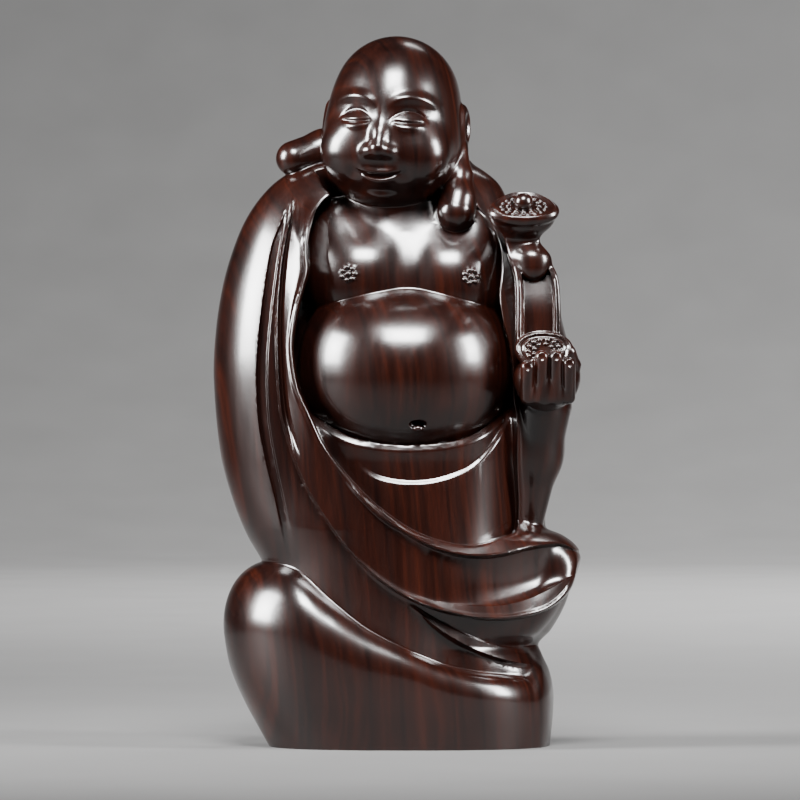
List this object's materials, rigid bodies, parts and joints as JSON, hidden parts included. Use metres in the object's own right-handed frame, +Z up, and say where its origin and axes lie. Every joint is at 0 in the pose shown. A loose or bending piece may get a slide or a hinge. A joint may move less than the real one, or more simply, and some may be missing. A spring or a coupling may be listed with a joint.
{
  "type": "budai figure",
  "caption": "Standing budai carved from dark polished rosewood, with an open robe, a cloth sack at the foot and a ruyi held in one hand. Stands freely on a flat underside.",
  "frame": {"origin": "point of the flat underside below the middle of the belly", "axes": "+Z up, from the underside to the crown; -Y towards the viewer, the way the figure faces; +X to the viewer's right, the side of the hand with the ruyi"},
  "size_m": [0.2078, 0.129, 0.3998],
  "materials": {
    "rosewood": "dark, oiled and polished to a soft gloss, with straight red-brown grain"
  },
  "bodies": {
    "root": {"budai_figure": "rosewood"}
  },
  "joints": []
}
